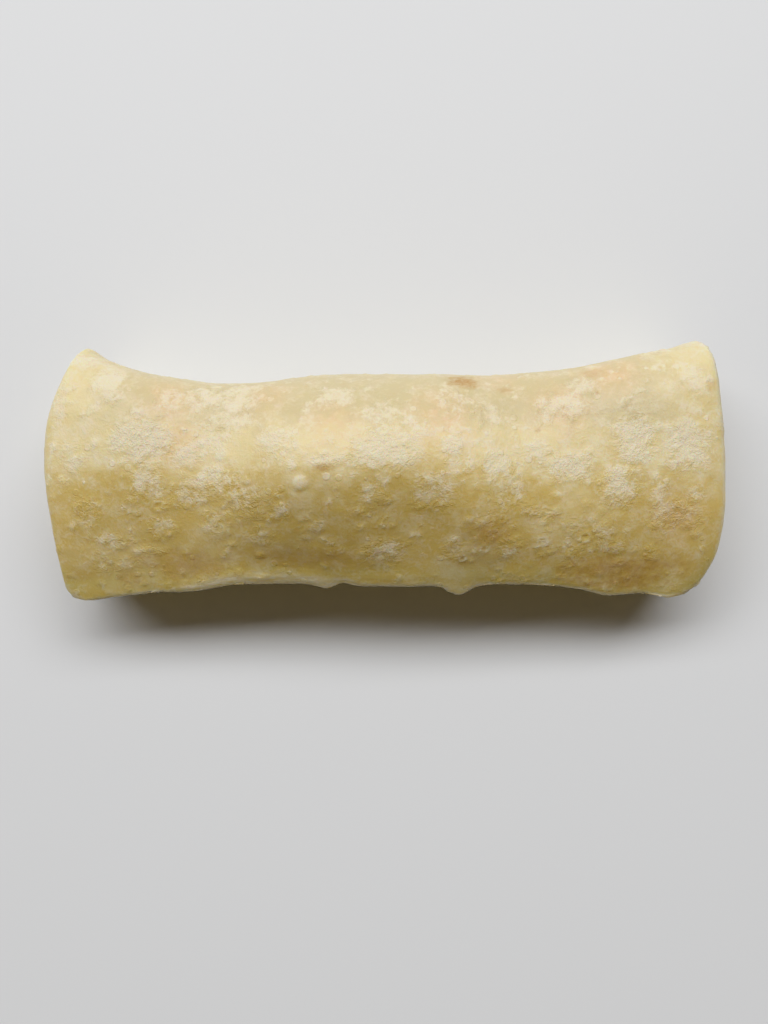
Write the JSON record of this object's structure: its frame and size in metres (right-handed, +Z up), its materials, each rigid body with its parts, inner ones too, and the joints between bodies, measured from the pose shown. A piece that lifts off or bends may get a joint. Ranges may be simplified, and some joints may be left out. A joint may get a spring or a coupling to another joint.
{
  "type": "burrito",
  "caption": "Whole rolled burrito: a flour tortilla with folded-in sides, rolled into a flared, soft-cornered log with its free edge along the front.",
  "frame": {"origin": "under the middle of the roll's box, on the surface that it lies on", "axes": "+X along the roll, +Y to its back, away from the tortilla's free edge, +Z up"},
  "size_m": [0.18, 0.0712, 0.045],
  "materials": {
    "tortilla": "matte, soft, pale floury dough with faint browned spots"
  },
  "bodies": {
    "root": {"tortilla_roll": "tortilla"}
  },
  "joints": []
}
